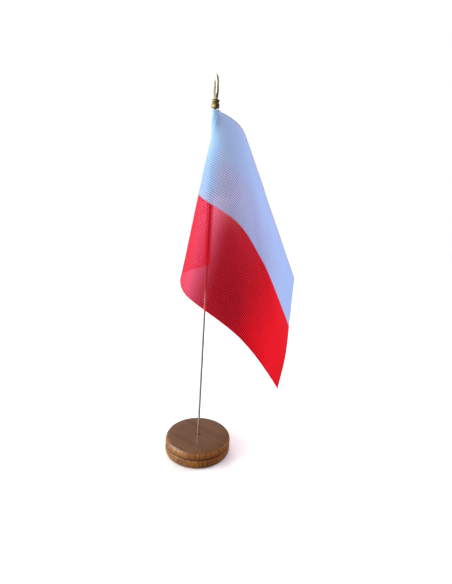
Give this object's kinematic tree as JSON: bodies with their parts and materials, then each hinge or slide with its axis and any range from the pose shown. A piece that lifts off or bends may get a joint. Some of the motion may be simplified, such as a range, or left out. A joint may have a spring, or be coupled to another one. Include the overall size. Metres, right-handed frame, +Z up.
{
  "type": "desk flag stand",
  "caption": "Small draped cloth flag, white over red, on a thin steel rod with a brass spear finial, standing in a grooved round wooden base.",
  "frame": {"origin": "centre of the base's underside, on the rod's axis", "axes": "+Z up along the rod, +X the side that the flag flies to, -Y the side that its front fold faces"},
  "size_m": [0.1213, 0.1495, 0.3641],
  "materials": {
    "wood": "satin varnish",
    "felt": "felt",
    "steel": "polished",
    "brass": "polished, slightly aged",
    "white_cloth": "fine open weave",
    "red_cloth": "fine open weave"
  },
  "bodies": {
    "base": {"base_disc": "wood", "base_pad": "felt"},
    "mast": {"rod": "steel"},
    "flag": {"flag_white": "white_cloth", "flag_red": "red_cloth", "sleeve_white": "white_cloth", "sleeve_red": "red_cloth"},
    "finial": {"finial_collar": "brass", "finial_spear": "brass"}
  },
  "joints": [
    {"name": "mast_lift", "type": "slide", "parent": "base", "child": "mast", "axis": [0, 0, 1], "range_m": [0, 0.014]},
    {"name": "flag_turn", "type": "hinge", "parent": "mast", "child": "flag", "pos_m": [0, 0, 0.3344], "axis": [0, 0, 1], "continuous": true},
    {"name": "finial_lift", "type": "slide", "parent": "mast", "child": "finial", "axis": [0, 0, 1], "range_m": [0, 0.008]}
  ]
}
